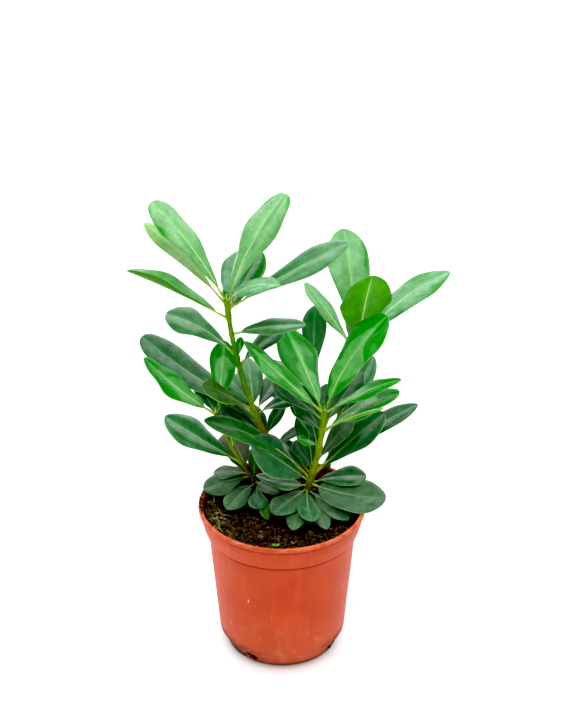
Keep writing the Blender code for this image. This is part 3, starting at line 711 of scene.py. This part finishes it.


# The leaves are thick, leathery and waxy, shaped like paddles. Each has a green stalk that runs on as a pale
# midrib, a blade that arches over to a thin rolled margin, and a duller underside. A waxy coat lies on the
# top.
# The paler top green of the fresh, pale, cool and gold kinds is partly painted sheen, which gives way to a
# saturated green at margin and tip.

# A leaf leaves its stem at a height above the soil, along heading, seen from above (0 is +X, 90 is +Y),
# and rises from the level. droop bends it down and roll tips its left side up. twist adds roll towards its
# tip and sweep bends it sideways. fold is the slope of its two halves at the midrib, left and right add the
# curl of each half at its margin, and peak and round shape its outline.
Leaf = namedtuple(
    "Leaf", "height heading rise length width droop roll kind twist sweep fold left right peak round",
    defaults=(0, 0, 14, -55, -55, 1.7, 0.6),
)
Foliage = namedtuple("Foliage", "stem low high leaves")
FOLIAGE = {
    "left_lower_foliage": Foliage("left", 34, 78, [
        Leaf(39.5, 44, 10, 32, 12, 0, -3, "old"),
        Leaf(42, 167, 10, 32, 16, 10, 0, "old"),
        Leaf(49, 62, 30, 31, 12, 0, -5, "old", sweep=9, peak=1.4),
        Leaf(54, 165, 5, 28, 12, 10, 0, "mature"),
        Leaf(65, 204, 41, 56, 24, 30, -4, "olive", twist=-12, sweep=20, peak=2.6),
        Leaf(68, 25, 8, 39, 17, 30, 13, "old", sweep=14),
        Leaf(70, 65, 15, 46, 18, 5, 0, "old"),
        Leaf(72.5, 154, 23, 98, 27, -20, -17, "old", peak=1.6, round=0.4),
        Leaf(73, 136, 33, 34, 18, 10, 0, "mature"),
        Leaf(72, 97, 24, 47, 20, 4, 8, "mature", peak=1.3),
    ]),
    "left_middle_foliage": Foliage("left", 102, 137, [
        Leaf(109, 33, 28, 42, 18, 20, 10, "old", sweep=13),
        Leaf(115, 60, 70, 16, 7, 0, 0, "fresh"),
        Leaf(117, 164, 27, 59, 28, 40, -12, "mature", peak=2.1, round=0.55),
        Leaf(135, -7, 12, 53, 18, 20, 17, "mature", twist=-6, peak=1.2, round=0.55),
    ]),
    "left_crown_foliage": Foliage("left", 145, 163, [
        Leaf(147.5, 185, 30, 80, 27, 14, -14, "keel", twist=30, sweep=12, fold=20, left=60, right=0,
             peak=1.4),
        Leaf(155, 9, 28, 95, 27, 11, 11, "mature", sweep=-6, round=0.55),
        Leaf(150, 82, 6, 46, 20, 10, 0, "cool"),
        Leaf(152, 52, 42, 50, 21, 10, 0, "cool"),
        Leaf(154.5, 76, 21, 61, 35, 2, -5, "mature", twist=-8, sweep=-10, peak=1.4, round=0.55),
        Leaf(158, 152, 37, 81, 19, 14, 0, "lime", fold=0, left=0, right=0, peak=2.0),
        Leaf(159.5, 43, 50, 87, 33, 33, -10, "pale", right=-80, round=0.4),
        Leaf(160, 151, 47, 87, 28, 23, -3, "pale", peak=2.2, round=0.4),
        Leaf(161.5, -30, 28, 50, 21, 52, 20, "cool", twist=-10, sweep=-13, peak=1.2),
    ]),
    "right_foot_foliage": Foliage("right", 5, 36, [
        Leaf(8, -102, -3, 47, 16, 17, 4, "dusty", peak=1.3),
        Leaf(8, -72, -4, 46, 14, 15, -4, "dusty", peak=1.4),
        Leaf(10, -48, -6, 44, 19, 11, -2, "dusty"),
        Leaf(11, -126, -1, 41, 21, 15, -6, "dusty", peak=1.5),
        Leaf(10.5, -86, 1, 44, 17, 17, -6, "old", sweep=-16),
        Leaf(16, -18, -1, 58, 37, -12, 9, "dusty", sweep=-30, peak=1.3, round=0.5),
        Leaf(14, 194, 20, 42, 23, -9, -4, "mature", twist=16, sweep=25, peak=1.2),
        Leaf(15.5, 5, 5, 42, 24, 25, 8, "old", peak=1.8),
        Leaf(17, 195, 43, 60, 36, 5, -28, "old", sweep=19, peak=1.4, round=0.6),
        Leaf(19, 188, 36, 96, 20, 38, -20, "deep", peak=2.0),
        Leaf(21, 22, 36, 70, 28, 5, 11, "old"),
        Leaf(22, 127, 20, 39, 15, 5, 0, "old"),
        Leaf(24, 24, 24, 92, 20, 16, 9, "old", sweep=9),
        Leaf(25, 115, 20, 31, 14, 5, 0, "old"),
        Leaf(25, 102, 55, 46, 20, 5, 0, "old"),
        Leaf(32, 40, 36, 43, 18, 5, 0, "dusty"),
    ]),
    "right_crown_foliage": Foliage("right", 42, 76, [
        Leaf(43, 116, 58, 48, 24, 5, 0, "old"),
        Leaf(46, 82, 35, 50, 16, 5, 0, "old"),
        Leaf(47, 181, 24, 18, 10, -5, -9, "fresh"),
        Leaf(62, 46, 38, 50, 24, 5, 0, "old"),
        Leaf(60, -35, 35, 62, 10, 15, 0, "gold", fold=0),
        Leaf(59, 141, 26, 32, 14, 0, -6, "old", peak=1.3),
        Leaf(57, -7, 34, 66, 32, 21, 1, "fresh", sweep=15, round=0.45),
        Leaf(68, 148, 26, 47, 22, 5, 0, "old"),
        Leaf(74, -9, 31, 63, 19, 16, 5, "fresh", sweep=6, peak=1.3),
        Leaf(74.5, 20, 56, 84, 32, 32, 13, "fresh", sweep=5, peak=1.5, round=0.45),
        Leaf(71.5, 119, 38, 74, 36, 15, 13, "fresh", twist=9, round=0.55),
        Leaf(74, 181, 46, 81, 25, -4, -9, "fresh", peak=1.2),
    ]),
    "rear_right_foliage": Foliage("rear_right", 44, 66, [
        Leaf(56, 60, 24, 56, 18, -4, 8, "mature", sweep=-8, peak=1.2),
    ]),
    "rear_right_crown_foliage": Foliage("rear_right", 90, 108, [
        Leaf(101, 149, 47, 62, 19, 10, 3, "pale"),
        Leaf(105.5, 26, 30, 88, 28, 30, 12, "cool", twist=-8, sweep=13, peak=1.4, round=0.65),
        Leaf(107, 99, 48, 87, 34, 11, 8, "pale", sweep=-7, round=0.55),
        Leaf(107.5, -58, 75, 64, 39, 5, -16, "pale", sweep=-13, peak=1.3, round=0.6),
    ]),
    "rear_left_foliage": Foliage("rear_left", 50, 74, [
        Leaf(73, 87, 57, 60, 19, 6, 0, "mature", peak=2.0),
    ]),
    "low_left_foot_foliage": Foliage("low_left", 5, 20, [
        Leaf(7, -79, -5, 40, 9, 15, 0, "olive"),
        Leaf(8, -85, -3, 30, 15, 9, 2, "old", sweep=-11, peak=1.9),
        Leaf(11, -44, 4, 26, 13, 15, 12, "dusty", sweep=-8, peak=1.2),
        Leaf(9.5, -124, -6, 36, 17, 24, -12, "dusty", sweep=-8, peak=1.5),
        Leaf(12, 80, 78, 27, 9, 10, 4, "olive", peak=1.2),
        Leaf(16, -163, -8, 36, 22, 10, -14, "dusty", peak=1.5),
        Leaf(18, 168, -5, 27, 18, 20, -2, "dusty", peak=1.4),
        Leaf(18, 115, 22, 40, 26, 11, -3, "worn", peak=2),
    ]),
    "low_left_foliage": Foliage("low_left", 25, 72, [
        Leaf(27, 160, 25, 66, 28, -1, -12, "mature", sweep=6, peak=1.6),
        Leaf(40, -120, 75, 14, 6, 0, 0, "fresh"),
        Leaf(69, 67, 74, 56, 22, -8, 0, "fresh", sweep=-8, round=0.65),
        Leaf(71, 178, 42, 67, 27, -17, -14, "fresh", twist=8, peak=1.2, round=0.65),
    ]),
}
Behind = namedtuple("Behind", "count length first_heading last_heading low high seed")
BEHIND = {
    "left_lower_foliage": Behind(4, 46, 105, 150, 40, 68, 1),
    "rear_right_foliage": Behind(2, 44, 55, 80, 46, 60, 3),
    "rear_right_crown_foliage": Behind(4, 50, 50, 84, 93, 104, 4),
    "rear_left_foliage": Behind(5, 48, 90, 150, 52, 70, 5),
    "low_left_foot_foliage": Behind(2, 28, 70, 130, 12, 16, 6),
    "low_left_foliage": Behind(2, 38, 85, 125, 60, 67, 8),
}
GOLDEN_SHARE = 0.618
BUD_LEAVES = 6
STALK_SHARE = 0.13
PATH_STEPS = 120
BLADE_ROWS = 44
ACROSS = (0.0, 0.06, 0.16, 0.28, 0.4, 0.52, 0.64, 0.75, 0.85, 0.93, 0.97, 1.0)
CURL_START = 0.3
BLADE_THICKNESS = 0.45
RIB_SIDES = 8
RIPPLE = 0.07
YOUNG_RIPPLE = 0.11
VEIN_PAIRS = 11
TOP_VEINS = 0.16
UNDER_VEINS = 0.3
UNDER_GLOSS = 0.15

# A kind of leaf has its dark and light green, its roughness and, on top, its gloss and the weight of its wax
# coat.
# For the fresh, pale, cool and gold kinds, the paler top green is partly painted sheen; a second table gives
# the saturated green, with no sheen painted, that takes its place towards the margin and tip, and how far out
# that begins.
TOPS = {
    "old": ((0.001, 0.074, 0.010), (0.010, 0.128, 0.028), 0.34, 0.25, 0.8),
    "mature": ((0.006, 0.140, 0.020), (0.026, 0.208, 0.048), 0.32, 0.35, 0.8),
    "dusty": ((0.020, 0.085, 0.024), (0.050, 0.140, 0.052), 0.46, 0.25, 0.8),
    "fresh": ((0.048, 0.320, 0.042), (0.095, 0.410, 0.080), 0.20, 0.35, 1.0),
    "pale": ((0.068, 0.295, 0.060), (0.112, 0.370, 0.100), 0.26, 0.42, 0.95),
    "cool": ((0.014, 0.190, 0.030), (0.050, 0.270, 0.070), 0.26, 0.4, 0.9),
    # The keel kind's top green is raised as painted light on its top.
    "keel": ((0.045, 0.260, 0.045), (0.080, 0.340, 0.075), 0.30, 0.45, 0.95),
    "lime": ((0.180, 0.470, 0.080), (0.270, 0.580, 0.130), 0.34, 0.4, 0.9),
    "gold": ((0.110, 0.330, 0.004), (0.170, 0.420, 0.012), 0.30, 0.32, 0.7),
    "deep": ((0.001, 0.080, 0.002), (0.004, 0.120, 0.006), 0.3, 0.3, 0.35),
    "olive": ((0.018, 0.086, 0.003), (0.040, 0.132, 0.006), 0.45, 0.2, 0.3),
    "worn": ((0.045, 0.085, 0.032), (0.130, 0.115, 0.075), 0.55, 0.3, 0.1),
}
UNDERSIDES = {
    "old": ((0.050, 0.120, 0.030), (0.080, 0.170, 0.050), 0.6),
    "mature": ((0.055, 0.140, 0.035), (0.090, 0.190, 0.055), 0.6),
    "dusty": ((0.055, 0.140, 0.035), (0.090, 0.190, 0.055), 0.6),
    "fresh": ((0.030, 0.230, 0.002), (0.065, 0.330, 0.006), 0.5),
    "pale": ((0.034, 0.240, 0.001), (0.062, 0.325, 0.003), 0.5),
    "cool": ((0.035, 0.160, 0.002), (0.070, 0.240, 0.006), 0.5),
    "lime": ((0.240, 0.480, 0.140), (0.330, 0.580, 0.200), 0.5),
    "gold": ((0.110, 0.300, 0.006), (0.170, 0.400, 0.012), 0.5),
    # The keel kind's underside is a darker olive, as painted shade.
    "keel": ((0.018, 0.140, 0.001), (0.036, 0.190, 0.002), 0.5),
    "deep": ((0.020, 0.150, 0.006), (0.040, 0.200, 0.016), 0.5),
    "olive": ((0.030, 0.110, 0.004), (0.060, 0.160, 0.010), 0.5),
    "worn": ((0.060, 0.080, 0.035), (0.130, 0.115, 0.070), 0.6),
}
# Saturated greens with no painted sheen, which take over from the paler, partly sheen-painted top greens
# towards the margin and tip.
UNSHEENED_GREENS = {
    "fresh": ((0.002, 0.235, 0.001), 0.46),
    "pale": ((0.006, 0.260, 0.003), 0.86),
    "cool": ((0.010, 0.240, 0.004), 0.76),
    "gold": ((0.050, 0.270, 0.002), 0.66),
}


def blade_finish(name, dark, light, roughness, gloss, coat, vein_strength, unsheened_green=None, limit=1.0):
    """A leaf surface: cloudy green, with side veins that slant from the midrib and a fine net between."""
    made = Finish(name, Specular_IOR_Level=gloss, Coat_Roughness=roughness)
    made.shader.inputs["Specular Tint"].default_value = (0.92, 1.0, 0.94, 1.0)
    spot = made.root.node("ShaderNodeUVMap", {"uv_map": "blade"})
    along = made.axis("Y", spot)
    side = abs(made.axis("X", spot) * 2.0 - 1.0)
    cloud = made.noise(7, 3.0)
    swell = made.noise(24, 1.0, seed=4.0)
    waver = (made.noise(3, 2.0, seed=2.0) - 0.5) * 0.5
    line = abs((along * VEIN_PAIRS - side * 1.5 + waver).fraction() - 0.5) * 2.0
    veins = line.band(0.88, 0.99) * side.band(0.02, 0.15) * (1 - side.band(0.72, 0.95))
    net = made.cells(1.1, "DISTANCE_TO_EDGE").band(0.09, 0.0)
    colour = cloud.band(0.3, 0.7).mix(dark, light)
    pale = tuple(min(1.0, c * 1.5 + 0.05) for c in light)
    colour = (veins * vein_strength + net * vein_strength * 0.25).mix(colour, pale)
    bloom = coat * (0.5 + 0.5 * made.noise(4, 4.0, seed=6.0).band(0.40, 0.58))
    # The paler top green is partly painted sheen; towards the margin and tip it gives way to a saturated
    # green with no sheen painted, and the wax coat thins there.
    if unsheened_green:
        sheen_fade = along * 0.65 + side * 0.35 + (made.noise(26, 1.5, seed=9.0) - 0.5) * 1.1
        unsheened_share = sheen_fade.band(limit, limit + 0.10)
        colour = unsheened_share.mix(colour, unsheened_green)
        bloom = bloom * (1 - unsheened_share)
    near_rib = (1 - side.band(0.0, 0.22)) * 0.35
    colour = near_rib.mix(colour, pale)
    made.feed(Base_Color=colour, Roughness=roughness - 0.06 + 0.16 * cloud, Coat_Weight=bloom)
    made.bump(1.0 - veins * 0.8 - net * 0.12 + swell * 16.0, 0.25)
    return made.material


def rib_finish(name, dark, light):
    made = Finish(name, Specular_IOR_Level=0.45)
    grain = made.noise(2.5, 3.0)
    made.feed(Base_Color=grain.band(0.35, 0.65).mix(dark, light), Roughness=0.42 + 0.1 * grain)
    made.bump(made.noise(0.7, 2.0), 0.05)
    return made.material


def leaf_path(base, leaf):
    """Points, and the sideways and upward directions, along the midrib of a leaf from base to tip."""
    points = [base.copy()]
    frames = []
    for k in range(PATH_STEPS + 1):
        s = k / PATH_STEPS
        heading = math.radians(leaf.heading + leaf.sweep * (0.5 - s))
        rise = math.radians(leaf.rise + leaf.droop * (0.5 - s))
        reach = math.cos(rise)
        ahead = Vector((math.cos(heading) * reach, math.sin(heading) * reach, math.sin(rise)))
        level = Vector((-math.sin(heading), math.cos(heading), 0))
        roll = math.radians(leaf.roll + leaf.twist * s)
        side = level * math.cos(roll) + ahead.cross(level) * math.sin(roll)
        frames.append((side, ahead.cross(side)))
        points.append(points[-1] + ahead * leaf.length / PATH_STEPS)
    return points, frames


def half_width(leaf, s):
    """Half the width of a leaf at share s of its length: a stalk, then a blade widest past its middle."""
    t = max(0.0, (s - STALK_SHARE) / (1 - STALK_SHARE))
    blade = leaf.width / 2 * math.sin(math.pi * t**leaf.peak) ** leaf.round if 0 < t < 1 else 0.0
    return max(blade, 0.2)


def section(fold, curl):
    """Steps out and up from the midrib to the margin of a half blade whose curved width is 1."""
    out = up = 0.0
    steps = [(0.0, 0.0)]
    for inner, outer in zip(ACROSS, ACROSS[1:]):
        share = max(0.0, ((inner + outer) / 2 - CURL_START) / (1 - CURL_START))
        angle = math.radians(fold + curl * share**1.6)
        out += (outer - inner) * math.cos(angle)
        up += (outer - inner) * math.sin(angle)
        steps.append((out, up))
    return steps


def add_blade(bm, uv, leaf, points, frames, rng, slots):
    """The blade: a top and an underside on one outline, closed by a thin margin."""
    top_slot, under_slot, margin_slot = slots
    waves = rng.uniform(1.4, 2.4)
    ripple = YOUNG_RIPPLE if leaf.kind in ("fresh", "pale") else RIPPLE
    phases = (rng.uniform(0, 6.3), rng.uniform(0, 6.3))
    columns = [-v for v in reversed(ACROSS[1:])] + list(ACROSS)
    tops, unders, shares = [], [], []
    for n in range(BLADE_ROWS + 1):
        t = n / BLADE_ROWS
        s = STALK_SHARE * 0.55 + (1 - STALK_SHARE * 0.55) * (1 - (1 - t) ** 1.5)
        if n == BLADE_ROWS:
            s = 1.0
        place = s * PATH_STEPS
        k = min(PATH_STEPS - 1, int(place))
        point = points[k].lerp(points[k + 1], place - k)
        side, above = frames[k]
        wide = half_width(leaf, s) if s > STALK_SHARE else 0.8
        if n == BLADE_ROWS:
            wide = 0.05
        top_row, under_row = [], []
        ease = min(1.0, max(0.0, (s - STALK_SHARE) / 0.25))
        right = section(leaf.fold, leaf.right * ease)
        left = section(leaf.fold, leaf.left * ease)
        spread = [(-out, up) for out, up in reversed(right[1:])] + left
        for v, (out, up) in zip(columns, spread):
            phase = phases[0] if v < 0 else phases[1]
            wave = ripple * math.sin(2 * math.pi * waves * s + phase) * v * v * min(1.0, (1 - s) * 4)
            centre = point + side * wide * out + above * wide * (up + wave)
            thick = BLADE_THICKNESS * (1 - 0.55 * abs(v)) / 2
            top_row.append(bm.verts.new((centre + above * thick) * MM))
            under_row.append(bm.verts.new((centre - above * thick) * MM))
        tops.append(top_row)
        unders.append(under_row)
        shares.append(s)
    last = len(columns) - 1

    def face(corners, places, slot):
        made = bm.faces.new(corners)
        made.material_index = slot
        for loop, spot in zip(made.loops, places):
            loop[uv].uv = spot

    for n in range(BLADE_ROWS):
        for c in range(last):
            v0, v1 = (columns[c] + 1) / 2, (columns[c + 1] + 1) / 2
            spots = [(v0, shares[n]), (v1, shares[n]), (v1, shares[n + 1]), (v0, shares[n + 1])]
            for rows, slot, order in ((tops, top_slot, -1), (unders, under_slot, 1)):
                quad = (rows[n][c], rows[n][c + 1], rows[n + 1][c + 1], rows[n + 1][c])
                face(quad[::order], spots[::order], margin_slot if c in (0, last - 1) else slot)
        for c, order in ((0, 1), (last, -1)):
            quad = (tops[n][c], tops[n + 1][c], unders[n + 1][c], unders[n][c])
            spots = [(0.0, shares[n])] * 4
            face(quad[::order], spots, margin_slot)
    for row, order in ((0, 1), (BLADE_ROWS, -1)):
        for c in range(last):
            quad = (tops[row][c], unders[row][c], unders[row][c + 1], tops[row][c + 1])
            face(quad[::-order], [(0.5, shares[row])] * 4, margin_slot)


def add_rib(bm, uv, leaf, points, frames, slots):
    """The stalk, which runs on along the blade as a slim rib that stands out on both sides."""
    stalk_slot, rib_slot = slots
    loops, shares = [], []
    size = min(1.0, 0.45 + leaf.length / 110)
    for n in range(0, round(PATH_STEPS * 0.94), 3):
        s = n / PATH_STEPS
        side, above = frames[n]
        radius = (1.25 - 0.35 * min(1.0, s / 0.05)) if s < 0.05 else 0.9 - 0.25 * min(1.0, (s - 0.05) / 0.12)
        radius = min(radius, 0.68 * (1 - s) ** 0.75 + 0.16) if s > STALK_SHARE else radius
        radius *= size
        sunk = radius * 0.35 * min(1.0, s / STALK_SHARE)
        ring = [points[n] + out * radius - above * sunk for out in around(side, above, RIB_SIDES)]
        loops.append([bm.verts.new(p * MM) for p in ring])
        shares.append(s)
    made = []
    for n, (lower, upper) in enumerate(zip(loops, loops[1:])):
        for c in range(RIB_SIDES):
            d = (c + 1) % RIB_SIDES
            made.append(bm.faces.new((lower[c], upper[c], upper[d], lower[d])))
            made[-1].material_index = stalk_slot if shares[n] < STALK_SHARE * 1.5 else rib_slot
    made.append(bm.faces.new(loops[0]))
    made.append(bm.faces.new(reversed(loops[-1])))
    made[-1].material_index = rib_slot
    for face in made:
        for loop in face.loops:
            loop[uv].uv = (0.5, 0.5)


def leaves_of(name):
    """The leaves of a mass: those that are listed, and those that the rule grows on its far side."""
    leaves = list(FOLIAGE[name].leaves)
    if name in BEHIND:
        rule = BEHIND[name]
        rng = random.Random(rule.seed)
        for k in range(rule.count):
            length = rule.length * rng.uniform(0.85, 1.1)
            share = (k + 0.5) * GOLDEN_SHARE % 1.0
            leaves.append(Leaf(
                height=rule.low + (rule.high - rule.low) * k / max(1, rule.count - 1),
                heading=rule.first_heading + (rule.last_heading - rule.first_heading) * share,
                rise=rng.uniform(5, 30),
                length=length,
                width=length * rng.uniform(0.38, 0.44),
                droop=rng.uniform(5, 15),
                roll=rng.uniform(-10, 10),
                kind="old",
            ))
    return leaves


def bud_leaves(stem):
    """The tuft of folded young leaves at the tip of a stem."""
    return [
        Leaf(
            stem.height - 1.5 + k * 0.25, k * GOLDEN_ANGLE, 62 + 4 * k, 9.0 - 0.8 * k, 3.4 - 0.25 * k, 22, 0,
            "fresh", fold=32,
        )
        for k in range(BUD_LEAVES)
    ]


leaf_tops = {k: blade_finish(f"leaf_top_{k}", *TOPS[k], TOP_VEINS, *UNSHEENED_GREENS.get(k, ())) for k in TOPS}
leaf_unders = {
    k: blade_finish(f"leaf_under_{k}", *UNDERSIDES[k], UNDER_GLOSS, 0.0, UNDER_VEINS) for k in UNDERSIDES
}
rib_pale = rib_finish("midrib_pale", (0.44, 0.56, 0.16), (0.58, 0.68, 0.24))
rib_dull = rib_finish("midrib_dull", (0.29, 0.42, 0.14), (0.41, 0.52, 0.20))
stalk_green = rib_finish("leaf_stalk", (0.20, 0.36, 0.01), (0.34, 0.50, 0.03))
margin_pale = rib_finish("leaf_margin", (0.10, 0.26, 0.07), (0.18, 0.36, 0.11))


def make_foliage(name):
    """A mass of leaves on one length of stem, joined into one piece."""
    foliage = FOLIAGE[name]
    stem = STEMS[foliage.stem]
    leaves = leaves_of(name)
    if foliage.high == stem.height:
        leaves += bud_leaves(stem)
    materials = [rib_pale, rib_dull, stalk_green, margin_pale]
    slots = {}
    for kind in sorted({leaf.kind for leaf in leaves}):
        slots[kind] = (len(materials), len(materials) + 1, materials.index(margin_pale))
        materials += [leaf_tops[kind], leaf_unders[kind]]
    rng = random.Random(len(name) * 7 + len(leaves))
    bm = bmesh.new()
    uv = bm.loops.layers.uv.new("blade")
    for leaf in leaves:
        points, frames = leaf_path(stem_point(stem, leaf.height), leaf)
        add_blade(bm, uv, leaf, points, frames, rng, slots[leaf.kind])
        rib = rib_dull if leaf.kind in ("old", "dusty") else rib_pale
        add_rib(bm, uv, leaf, points, frames, (materials.index(stalk_green), materials.index(rib)))
    piece = finished(f"{name}_leaves", bm, materials, 50.0)
    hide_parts(name)


for stem_name in STEMS:
    heights = [leaf.height for name in FOLIAGE if FOLIAGE[name].stem == stem_name for leaf in leaves_of(name)]
    make_stem(stem_name, heights)
for foliage_name in FOLIAGE:
    make_foliage(foliage_name)


# The studio is a pale floor in a tent that is bright overhead and a little behind the plant, and dim all
# round. So leaves that look up get a soft sheen, and those that face the camera keep their deep green. A soft
# lamp in front fills the shadows, and a raised black point deepens the darkest greens.
FLOOR_SIZE = 30.0
TENT_STRENGTH = 2.9
LOW_STRENGTH = 0.43
TENT_DIRECTION = (0.0, 0.35, 0.94)
TENT_EDGE = (0.48, 0.66)
BLACK_POINT = 0.022
FILL_PLACE = (0.2, -2.2, 1.3)
FILL_TARGET = (0.0, 0.0, 0.17)
FILL_SIZE = 2.2
FILL_POWER = 10.0


def floor_finish():
    made = Finish("floor_paper", Roughness=0.9, Specular_IOR_Level=0.2)
    made.feed(Base_Color=made.noise(60, 3.0).mix((0.90, 0.90, 0.90), (0.94, 0.94, 0.94)))
    return made.material


floor_mesh = bmesh.new()
bmesh.ops.create_grid(floor_mesh, x_segments=8, y_segments=8, size=FLOOR_SIZE / 2)
floor_data = bpy.data.meshes.new("floor")
floor_mesh.to_mesh(floor_data)
floor_mesh.free()
floor_data.materials.append(floor_finish())
floor = placed("floor", floor_data)
floor.location.z = -0.0005

lamp = placed("front_fill", bpy.data.lights.new("front_fill", "AREA"))
lamp.data.shape = "DISK"
lamp.data.size = FILL_SIZE
lamp.data.energy = FILL_POWER
lamp.location = FILL_PLACE
lamp.rotation_euler = (Vector(FILL_TARGET) - lamp.location).to_track_quat("-Z", "Y").to_euler()
lamp.visible_glossy = False

world = bpy.data.worlds.new("studio")
bpy.context.scene.world = world
world.use_nodes = True
tent = Socket(world.node_tree)
aims = {0: tent.node("ShaderNodeTexCoord", output="Generated"), 1: TENT_DIRECTION}
toward = tent.node("ShaderNodeVectorMath", {"operation": "DOT_PRODUCT"}, aims, output="Value")
strength = LOW_STRENGTH + toward.band(*TENT_EDGE) * (TENT_STRENGTH - LOW_STRENGTH)
backdrop = world.node_tree.nodes["Background"]
backdrop.inputs["Color"].default_value = (1.0, 1.0, 1.0, 1.0)
world.node_tree.links.new(strength.output, backdrop.inputs["Strength"])
tone = bpy.context.scene.view_settings
tone.view_transform = "Standard"
tone.use_curve_mapping = True
tone.curve_mapping.black_level = (BLACK_POINT,) * 3
tone.curve_mapping.update()
